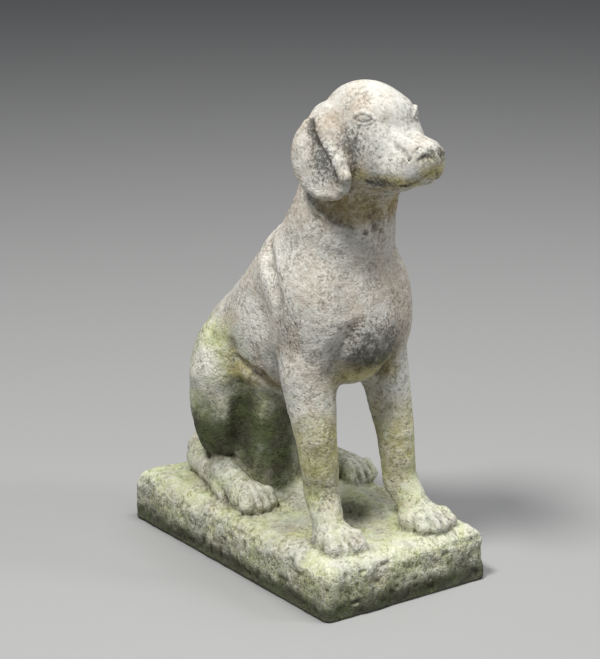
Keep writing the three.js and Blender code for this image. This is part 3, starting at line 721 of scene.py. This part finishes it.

# Stains, and painted light and shade


def edge_mean(values, edges, rounds):
    """Values at the points, drawn towards the mean of their neighbours."""
    count = len(values)
    valence = np.bincount(edges.ravel(), minlength=count) + 1e-9
    for _ in range(rounds):
        pulled = np.empty_like(values)
        for a in range(values.shape[1]):
            pulled[:, a] = np.bincount(edges[:, 0], values[edges[:, 1], a], count)
            pulled[:, a] += np.bincount(edges[:, 1], values[edges[:, 0], a], count)
        values = 0.4 * values + 0.6 * pulled / valence[:, None]
    return values


def patch(place, middle, radii, both_sides=True):
    """A soft patch, 1 in its middle, and on both sides of the dog unless told otherwise."""
    x = np.abs(place[:, 0]) if both_sides else place[:, 0]
    across = (x - middle[0]) / radii[0]
    along = (place[:, 1] - middle[1]) / radii[1]
    upward = (place[:, 2] - middle[2]) / radii[2]
    return np.exp(-(across**2) - along**2 - upward**2)


def line_of(place, points, width):
    """A soft line through the points on both sides of the dog, 1 along its middle."""
    spot = np.stack([np.abs(place[:, 0]), place[:, 1], place[:, 2]], 1)
    nearest = np.full(len(spot), 1e9)
    for a, b in zip(np.array(points, float), np.array(points[1:], float)):
        t = np.clip((spot - a) @ (b - a) / ((b - a) @ (b - a)), 0, 1)
        nearest = np.minimum(nearest, np.linalg.norm(spot - a - t[:, None] * (b - a), axis=1))
    return np.exp(-((nearest / width) ** 2))


def most(*layers):
    """The strongest of the layers at each point, from 0 to 1."""
    return np.clip(np.max(layers, axis=0), 0, 1)


# Lines of the left half of the figure along which shade is painted: in the valley before the haunch, and as
# painted shadow under the belly's edge and the neck's fold, with dampness and dirt.
HAUNCH_VALLEY = [[91, 101, 247], [84, 92, 150], [69, 87, 50]]
BELLY_LINE = [[84, 46, 222], [72, 13, 207], [45, -2, 178]]
NECK_FOLD = [[66.6, -105.5, 484.5], [40, -142, 458], [12, -166, 439]]


def stains_and_painted_light(points, normals, edges):
    """How much of each staining, wear, painted light and painted shade every point of the skin carries, from
    0 to 1.
    """
    figure = in_figure(points)
    on_head = in_head(figure)
    y, z = figure[:, 1], figure[:, 2]
    up = normals[:, 2]
    plinth = smooth_step(22, 4, z)
    side_wall = smooth_step(0.7, 0.3, up) * plinth
    head = smooth_step(470, 530, z - 0.35 * y - 80)
    fine = np.einsum("ij,ij->i", edge_mean(points, edges, 8) - points, normals)
    wide = np.einsum("ij,ij->i", edge_mean(points, edges, 60) - points, normals)
    under_ear = patch(figure, (62, -110, 500), (40, 60, 50))
    # The top of each haunch, where a painted highlight lies and the algae gives way.
    knee = patch(figure, (112, 110, 200), (26, 36, 40))
    # Dirt and painted shade in the creases and hollows of the skin, less of it on the neck under the ear.
    dirt_and_shade_in_dips = most(smooth_step(0.1, 1.2, fine), 0.7 * smooth_step(1.5, 6.0, wide))
    return {
        "coarse": 1 - 0.7 * head * smooth_step(-0.6, 0.3, up) + 0.35 * side_wall,
        "hollow": dirt_and_shade_in_dips * (1 - 0.7 * under_ear),
        "ridge": smooth_step(0.05, 0.9, -fine) * (1 - 0.75 * head),
        # Pale weathering, with painted light where shade falls on the flews, on the neck under the ear and
        # on the far foreleg under the chest, and a painted highlight on the top of each haunch.
        "bleach_and_painted_light": most(
            0.45 * head * smooth_step(12, 50, on_head[:, 2]) * smooth_step(-0.1, 0.7, up),
            0.8 * patch(on_head, (80, 62, -100), (20, 40, 14)),
            0.7 * patch(on_head, (84, 84, -50), (12, 18, 40)),
            0.9 * patch(on_head, (38, -34, -58), (18, 30, 16)),
            0.9 * patch(figure, (58, -112, 494), (28, 34, 34)),
            0.65 * patch(figure, (60, -60, 370), (70, 110, 90)),
            0.75 * patch(figure, (90, 0, 290), (40, 66, 50)),
            0.6 * patch(figure, (75, -135, 228), (34, 44, 44), False),
            0.6 * patch(figure, (70, -150, 170), (46, 46, 110), False),
            0.4 * smooth_step(0.5, 0.95, up) * (1 - head) * (1 - 0.4 * plinth),
            1.4 * knee,
            0.6 * patch(figure, (98, -120, 140), (16, 30, 110), False),
            0.5 * patch(figure, (-86, -120, 200), (30, 40, 90), False),
            1.0 * patch(figure, (70, -240, -2), (120, 60, 16)),
        ),
        "buff": most(
            0.95 * patch(on_head, (52, 42, -34), (22, 22, 34)),
            0.9 * patch(figure, (62, -60, 480), (40, 60, 60)),
            0.5 * patch(figure, (60, 0, 360), (60, 90, 60)),
            1.0 * patch(figure, (60, -150, 330), (55, 60, 90), False),
            0.4 * patch(figure, (-40, -150, 380), (70, 70, 50), False),
        ),
        "ochre": most(
            0.95 * patch(on_head, (25, -44, -82), (30, 46, 13)),
            0.9 * patch(on_head, (6, -86, -68), (22, 16, 16)),
            0.55 * patch(on_head, (12, -82, -46), (22, 16, 14)),
            0.8 * patch(on_head, (50, 10, -80), (18, 26, 16)),
            0.35 * patch(on_head, (60, 40, -95), (16, 26, 20)),
            0.95 * patch(figure, (80, 50, 196), (26, 26, 26)),
            1.0 * patch(figure, (18, -165, 232), (45, 44, 32)),
            0.6 * patch(figure, (90, 66, 230), (18, 18, 30)),
            0.75 * patch(figure, (66, -139, 120), (50, 50, 70)),
            0.6 * patch(figure, (20, -150, 488), (60, 50, 34)),
            0.35 * patch(figure, (0, 20, 30), (90, 200, 20)),
        ),
        # Earthy brown on the throat and by the ear, with painted shade under the jaw and the belly and a
        # painted shadow along the belly's lower edge.
        "earth_and_painted_shade": most(
            1.0 * patch(figure, (25, -150, 480), (60, 60, 36)),
            0.35 * patch(figure, (60, -110, 500), (26, 50, 40)),
            0.85 * patch(on_head, (58, 30, -66), (18, 20, 30)),
            0.5 * patch(on_head, (50, 20, -30), (14, 18, 14)),
            0.7 * patch(on_head, (30, 0, -98), (40, 60, 10)),
            0.5 * patch(on_head, (62, 56, -14), (10, 14, 18)),
            0.5 * patch(figure, (50, 0, 190), (40, 40, 24)),
            0.9 * line_of(figure, BELLY_LINE, 8),
        ),
        "algae": most(
            1.0 * patch(figure, (96, 110, 215), (50, 90, 62)),
            0.9 * patch(figure, (88, 110, 110), (60, 80, 70)),
            0.8 * patch(figure, (50, 50, 110), (60, 60, 110)),
            0.9 * patch(figure, (75, -130, 90), (60, 60, 110)),
            0.65 * patch(figure, (80, -190, 14), (60, 60, 20)),
            0.8 * patch(figure, (85, 40, 20), (60, 120, 36)),
            0.5 * smooth_step(260, 60, z),
            0.62 * plinth,
        )
        * (1 - 0.75 * knee),
        # Dampness, with painted shade in the recess under the belly, under the chest, in the haunches'
        # valleys and on the plinth's upright sides, darkest low down.
        "damp_and_painted_shade": most(
            1.0 * patch(figure, (98, 112, 92), (60, 76, 58)),
            1.0 * patch(figure, (36, 24, 76), (40, 44, 104)),
            1.1 * patch(figure, (62, 60, 110), (36, 44, 84)),
            0.7 * patch(figure, (12, -172, 256), (60, 36, 30)),
            0.5 * patch(figure, (-70, -140, 100), (40, 40, 76), False),
            0.6 * patch(figure, (40, -110, 236), (50, 60, 30)),
            1.0 * side_wall * smooth_step(-30, -74, z),
            0.6 * line_of(figure, HAUNCH_VALLEY, 10),
            0.22 * side_wall,
            0.6 * patch(figure, (0, 110, 60), (60, 60, 60)),
        ),
        # Dark staining on the nose, lips, ear and chest, with painted shade along the mouth line and on the
        # plinth's upright sides, and a painted shadow under the neck's fold.
        "dark_stain_and_painted_shade": most(
            0.8 * patch(on_head, (10, -84, -42), (20, 12, 12)),
            0.9 * line_of(on_head, LIPS[:5], 6),
            0.55 * line_of(on_head, LIPS[4:], 5),
            0.8 * line_of(figure, NECK_FOLD, 5),
            0.9 * line_of(on_head, EAR_CREASE, 9),
            0.8 * patch(on_head, (34, -18, -88), (16, 34, 12)),
            0.8 * patch(on_head, (84, 50, -60), (18, 26, 36)),
            0.6 * patch(on_head, (72, 96, -60), (20, 14, 44)),
            0.5 * patch(on_head, (44, -4, -44), (18, 34, 22)),
            0.8 * patch(on_head, (52, 18, -40), (22, 32, 30)),
            0.7 * patch(on_head, (52, 18, -66), (20, 20, 26)),
            0.75 * patch(figure, (20, -190, 276), (60, 40, 50)),
            0.45 * patch(figure, (100, -95, 300), (30, 60, 70)),
            0.35 * side_wall,
        ),
    }


def paint_layers(mesh):
    """Keeps the layers of staining, wear, painted light and painted shade on the mesh's points, one
    attribute each.
    """
    count = len(mesh.vertices)
    points = np.empty(count * 3, np.float32)
    normals = np.empty(count * 3, np.float32)
    edges = np.empty(len(mesh.edges) * 2, np.int32)
    mesh.vertices.foreach_get("co", points)
    mesh.vertices.foreach_get("normal", normals)
    mesh.edges.foreach_get("vertices", edges)
    points = points.reshape(-1, 3).astype(float) / MM
    layers = stains_and_painted_light(points, normals.reshape(-1, 3), edges.reshape(-1, 2))
    for name, amount in layers.items():
        mesh.attributes.new(name, "FLOAT", "POINT").data.foreach_set("value", amount.astype(np.float32))


paint_layers(statue.data)

# Stone


class Wiring:
    """Places nodes in a tree and links their sockets."""

    def __init__(self, tree):
        self.tree = tree

    def node(self, kind, values=None, **settings):
        made = self.tree.nodes.new(kind)
        for name, value in settings.items():
            setattr(made, name, value)
        for key, value in (values or {}).items():
            self.feed(made.inputs[key], value)
        return made

    def feed(self, socket, value):
        if isinstance(value, bpy.types.NodeSocket):
            self.tree.links.new(value, socket)
        else:
            socket.default_value = value

    def math(self, operation, a, b):
        return self.node("ShaderNodeMath", {0: a, 1: b}, operation=operation).outputs[0]

    def ramp(self, value, low, high, to_low=0.0, to_high=1.0):
        limits = {"Value": value, "From Min": low, "From Max": high, "To Min": to_low, "To Max": to_high}
        return self.node("ShaderNodeMapRange", limits, interpolation_type="SMOOTHSTEP").outputs["Result"]

    def noise(self, place, scale, detail=2.0, roughness=0.5):
        values = {"Vector": place, "Scale": scale, "Detail": detail, "Roughness": roughness}
        return self.node("ShaderNodeTexNoise", values).outputs["Fac"]

    def mix(self, amount, a, b, blend="MIX"):
        """Two colours mixed. A Mix node's inputs 0, 6 and 7 and its output 2 are those for colours."""
        sockets = {0: amount, 6: a, 7: b}
        return self.node("ShaderNodeMix", sockets, data_type="RGBA", blend_type=blend).outputs[2]

    def layer(self, name):
        """One of the layers of staining, wear, painted light and painted shade kept on the mesh's points."""
        return self.node("ShaderNodeAttribute", attribute_name=name).outputs["Fac"]


def new_group(name, inputs, outputs):
    """A shader node group with its inputs (name, kind, default) and outputs (name, kind)."""
    tree = bpy.data.node_groups.new(name, "ShaderNodeTree")
    for title, kind, value in inputs:
        socket = tree.interface.new_socket(title, in_out="INPUT", socket_type=kind)
        if value is not None:
            socket.default_value = value
    for title, kind in outputs:
        tree.interface.new_socket(title, in_out="OUTPUT", socket_type=kind)
    wiring = Wiring(tree)
    entry = wiring.node("NodeGroupInput")
    leave = wiring.node("NodeGroupOutput")
    return wiring, entry.outputs, leave.inputs


def place_group(wiring, tree, values):
    """Places a node group with its own values and gives its outputs."""
    made = wiring.node("ShaderNodeGroup", node_tree=tree)
    for key, value in values.items():
        wiring.feed(made.inputs[key], value)
    return made.outputs


def growth_group():
    """A layer that is thick in the middle of its patch and breaks up into flecks at its edge, for staining
    and for painted light and shade alike.
    """
    w, given, result = new_group(
        "layer_cover",
        (
            ("Place", "NodeSocketVector", None),
            ("Amount", "NodeSocketFloat", 0.5),
            ("Fleck Scale", "NodeSocketFloat", 60.0),
            ("Raggedness", "NodeSocketFloat", 0.6),
            ("Softness", "NodeSocketFloat", 0.38),
        ),
        (("Cover", "NodeSocketFloat"),),
    )
    flecks = w.noise(given["Place"], given["Fleck Scale"], 5.0, 0.65)
    ragged = w.math("MULTIPLY", w.math("SUBTRACT", flecks, 0.5), given["Raggedness"])
    lifted = w.math("ADD", given["Amount"], ragged)
    start = w.math("SUBTRACT", 0.5, given["Softness"])
    full = w.math("ADD", 0.5, given["Softness"])
    w.feed(result["Cover"], w.ramp(lifted, start, full))
    return w.tree


def grain_group():
    """Sand and crushed stone: speckle in three sizes that follows the crumb's height, darker in its lows as
    painted shade and paler on its highs as painted light, and the height of its crumb and pits.
    """
    w, given, result = new_group(
        "stone_grain",
        (("Place", "NodeSocketVector", None), ("Crumb Scale", "NodeSocketFloat", 190.0)),
        [(title, "NodeSocketFloat") for title in ("Speckle", "Pale Grains", "Pits", "Height")],
    )
    place, scale = given["Place"], given["Crumb Scale"]
    crumb = w.noise(place, w.math("MULTIPLY", scale, 1.6), 2.0, 0.6)
    lumps = w.noise(place, w.math("MULTIPLY", scale, 0.5), 2.0, 0.5)
    grains = w.node("ShaderNodeTexVoronoi", {"Vector": place, "Scale": w.math("MULTIPLY", scale, 1.5)})
    tone = w.math("ADD", w.math("MULTIPLY", grains.outputs["Color"], 0.32), w.math("MULTIPLY", crumb, 0.38))
    tone = w.math("ADD", tone, w.math("MULTIPLY", lumps, 0.30))
    pits = w.ramp(w.noise(place, w.math("MULTIPLY", scale, 0.75), 1.0, 0.5), 0.35, 0.29)
    w.feed(result["Speckle"], w.ramp(tone, 0.38, 0.53))
    w.feed(result["Pale Grains"], w.ramp(tone, 0.53, 0.64))
    w.feed(result["Pits"], pits)
    height = w.math("ADD", w.math("MULTIPLY", lumps, 0.8), w.math("MULTIPLY", crumb, 0.35))
    height = w.math("SUBTRACT", height, w.math("MULTIPLY", grains.outputs["Distance"], 0.45))
    w.feed(result["Height"], w.math("SUBTRACT", height, w.math("MULTIPLY", pits, 0.5)))
    return w.tree


CLEAN_GREY = (0.46, 0.455, 0.42, 1)
PIT_GRIME_AND_SHADE = (0.10, 0.095, 0.075, 1)
# Pale wash, also laid as painted light.
BLEACH_AND_LIGHT_WHITE = (0.70, 0.69, 0.63, 1)
PINK_BUFF = (0.43, 0.375, 0.31, 1)
OCHRE = (0.34, 0.27, 0.11, 1)
MUSTARD = (0.52, 0.48, 0.20, 1)
UMBER = (0.19, 0.14, 0.07, 1)
YELLOW_GREEN = (0.41, 0.45, 0.20, 1)
GREEN_GREY = (0.34, 0.355, 0.245, 1)
DEEP_GREEN = (0.042, 0.058, 0.016, 1)
DAMP_BROWN_AND_SHADE = (0.034, 0.031, 0.016, 1)
DARK_STAIN_AND_SHADE = (0.07, 0.068, 0.06, 1)
DIP_SHADE = (0.28, 0.25, 0.2, 1)  # what dirt and painted shade in the skin's hollows leave of a colour
GRIT_SHADE = (0.42, 0.40, 0.36, 1)  # and dark grains and painted shade in the crumb's lows


def weathered_stone():
    """Pale stone under coats of bleach, algae, lichen, earthy brown, dampness and dark staining, with
    painted light and painted shade laid in among them, and grit over all.
    """
    stone = bpy.data.materials.new("weathered_stone")
    stone.use_nodes = True
    w = Wiring(stone.node_tree)
    shader = stone.node_tree.nodes["Principled BSDF"]
    cover, grain = growth_group(), grain_group()
    place = w.node("ShaderNodeTexCoord").outputs["Object"]
    grit = place_group(w, grain, {"Place": place})

    def coat(name, scale, raggedness, strength, softness=0.38):
        values = {"Place": place, "Amount": w.layer(name), "Fleck Scale": scale, "Raggedness": raggedness}
        values["Softness"] = softness
        return w.math("MULTIPLY", place_group(w, cover, values)["Cover"], strength)

    clouds = w.noise(place, 16.0, 3.0, 0.6)
    colour = w.mix(w.ramp(clouds, 0.38, 0.7), CLEAN_GREY, PINK_BUFF)
    colour = w.mix(coat("buff", 40.0, 0.7, 0.85), colour, PINK_BUFF)
    # Pale weathering and painted light.
    colour = w.mix(coat("bleach_and_painted_light", 120.0, 1.0, 0.92, 0.3), colour, BLEACH_AND_LIGHT_WHITE)
    green = w.mix(w.ramp(w.noise(place, 20.0, 3.0), 0.42, 0.62), YELLOW_GREEN, GREEN_GREY)
    colour = w.mix(coat("algae", 38.0, 0.9, 0.88), colour, green)
    lichen = w.mix(w.noise(place, 70.0, 3.0), OCHRE, MUSTARD)
    colour = w.mix(coat("ochre", 45.0, 0.9, 0.88), colour, lichen)
    # Earthy brown, also laid as painted shade.
    earth_and_shade_colour = w.mix(w.noise(place, 60.0, 3.0), UMBER, OCHRE)
    colour = w.mix(coat("earth_and_painted_shade", 50.0, 0.9, 0.85), colour, earth_and_shade_colour)
    # Dark green and brown for dampness and for painted shade.
    damp_and_shade_colour = w.mix(w.ramp(w.noise(place, 26.0, 3.0), 0.42, 0.6), DEEP_GREEN, DAMP_BROWN_AND_SHADE)
    damp_and_painted_shade = coat("damp_and_painted_shade", 34.0, 0.8, 0.92)
    free_of_damp_and_shade = w.math("SUBTRACT", 1.0, damp_and_painted_shade)
    colour = w.mix(damp_and_painted_shade, colour, damp_and_shade_colour)
    # Dark staining and painted shade.
    colour = w.mix(coat("dark_stain_and_painted_shade", 240.0, 1.9, 0.85, 0.2), colour, DARK_STAIN_AND_SHADE)
    # Dips darkened with dirt and painted shade.
    dip_dirt_and_shade = w.math("MULTIPLY", w.layer("hollow"), 0.75)
    colour = w.mix(dip_dirt_and_shade, colour, w.mix(0.75, colour, DIP_SHADE, "MULTIPLY"))
    rubbed = w.math("MULTIPLY", w.math("MULTIPLY", w.layer("ridge"), 0.3), free_of_damp_and_shade)
    colour = w.mix(rubbed, colour, BLEACH_AND_LIGHT_WHITE)
    # Dark grains, and painted shade in the low crumb.
    speck_amount = w.ramp(w.noise(place, 30.0, 2.0), 0.35, 0.65, 0.2, 0.8)
    dark_specks = w.math("MULTIPLY", w.math("SUBTRACT", 1.0, grit["Speckle"]), speck_amount)
    colour = w.mix(dark_specks, colour, w.mix(0.9, colour, GRIT_SHADE, "MULTIPLY"))
    # Grime and painted shade in the pits.
    colour = w.mix(w.math("MULTIPLY", grit["Pits"], 0.35), colour, PIT_GRIME_AND_SHADE)
    # Pale grains, and painted light on the crumb's highs.
    pale_specks = w.math("MULTIPLY", w.math("MULTIPLY", grit["Pale Grains"], 0.3), free_of_damp_and_shade)
    colour = w.mix(pale_specks, colour, w.mix(0.6, colour, BLEACH_AND_LIGHT_WHITE))
    w.feed(shader.inputs["Base Color"], colour)
    w.feed(shader.inputs["Roughness"], w.ramp(clouds, 0.3, 0.7, 0.84, 0.96))
    relief = w.math("MULTIPLY", grit["Height"], w.layer("coarse"))
    bump = w.node("ShaderNodeBump", {"Strength": 0.7, "Distance": 0.0022, "Height": relief})
    w.feed(shader.inputs["Normal"], bump.outputs["Normal"])
    shader.inputs["Specular IOR Level"].default_value = 0.3
    return stone


statue.data.materials.clear()
statue.data.materials.append(weathered_stone())

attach(statue, "root")
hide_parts("dog_statue")

# Floor, light and camera

FLOOR_SIZE = 40
FLOOR_GREY = (0.30, 0.30, 0.297, 1)
SKY_TINT = (0.86, 0.9, 1, 1)
SKY_STRENGTH = 0.13

bpy.ops.mesh.primitive_plane_add(size=FLOOR_SIZE)
floor = bpy.context.object
floor.name = "floor"
pale = bpy.data.materials.new("pale_floor")
pale.use_nodes = True
pale_shader = pale.node_tree.nodes["Principled BSDF"]
pale_shader.inputs["Base Color"].default_value = FLOOR_GREY
pale_shader.inputs["Roughness"].default_value = 0.8
floor.data.materials.append(pale)

world = bpy.data.worlds.new("studio")
bpy.context.scene.world = world
world.use_nodes = True
world.node_tree.nodes["Background"].inputs["Color"].default_value = SKY_TINT
world.node_tree.nodes["Background"].inputs["Strength"].default_value = SKY_STRENGTH
bpy.context.scene.view_settings.view_transform = "Standard"


LIGHT_TARGET = (0, 0, 0.4)


def soft_light(name, place, size, watts, colour):
    """A round soft lamp that shines on the middle of the statue."""
    light = bpy.data.lights.new(name, "AREA")
    light.shape = "DISK"
    light.size = size
    light.energy = watts
    light.color = colour
    lamp = bpy.data.objects.new(name, light)
    lamp.location = place
    x, y, z = np.array(LIGHT_TARGET) - np.array(place)
    lamp.rotation_euler = (math.atan2(math.hypot(x, y), -z), 0, math.atan2(-x, y))
    bpy.context.scene.collection.objects.link(lamp)


soft_light("key", (-2.3, -0.8, 4.6), 1.1, 288, (1, 0.99, 0.97))
soft_light("top", (0.6, -0.9, 5.2), 2.6, 160, (1, 1, 1))
soft_light("right", (3.0, -3.2, 3.2), 1.4, 70, (1, 1, 1))
soft_light("fill", (-0.9, -4.6, 1.7), 2.5, 8, (1, 1, 1))

# The camera's place was fitted to the photograph from the plinth's corners.
CAMERA_AZIMUTH = 35.5
CAMERA_DISTANCE = 2.8
CAMERA_HEIGHT = 1.1176
CAMERA_TILT = 15.5
CAMERA_PAN = -0.1
FOCAL_PIXELS = 1972.4
IMAGE_WIDTH, IMAGE_HEIGHT = 600, 659

camera = bpy.data.objects.new("camera", bpy.data.cameras.new("camera"))
azimuth = math.radians(CAMERA_AZIMUTH)
camera.location = (-math.sin(azimuth) * CAMERA_DISTANCE, -math.cos(azimuth) * CAMERA_DISTANCE, CAMERA_HEIGHT)
camera.rotation_euler = (math.radians(90 - CAMERA_TILT), 0, -math.radians(CAMERA_AZIMUTH + CAMERA_PAN))
camera.data.sensor_fit = "VERTICAL"
camera.data.sensor_height = 24
camera.data.lens = FOCAL_PIXELS * camera.data.sensor_height / IMAGE_HEIGHT
bpy.context.scene.collection.objects.link(camera)
bpy.context.scene.camera = camera
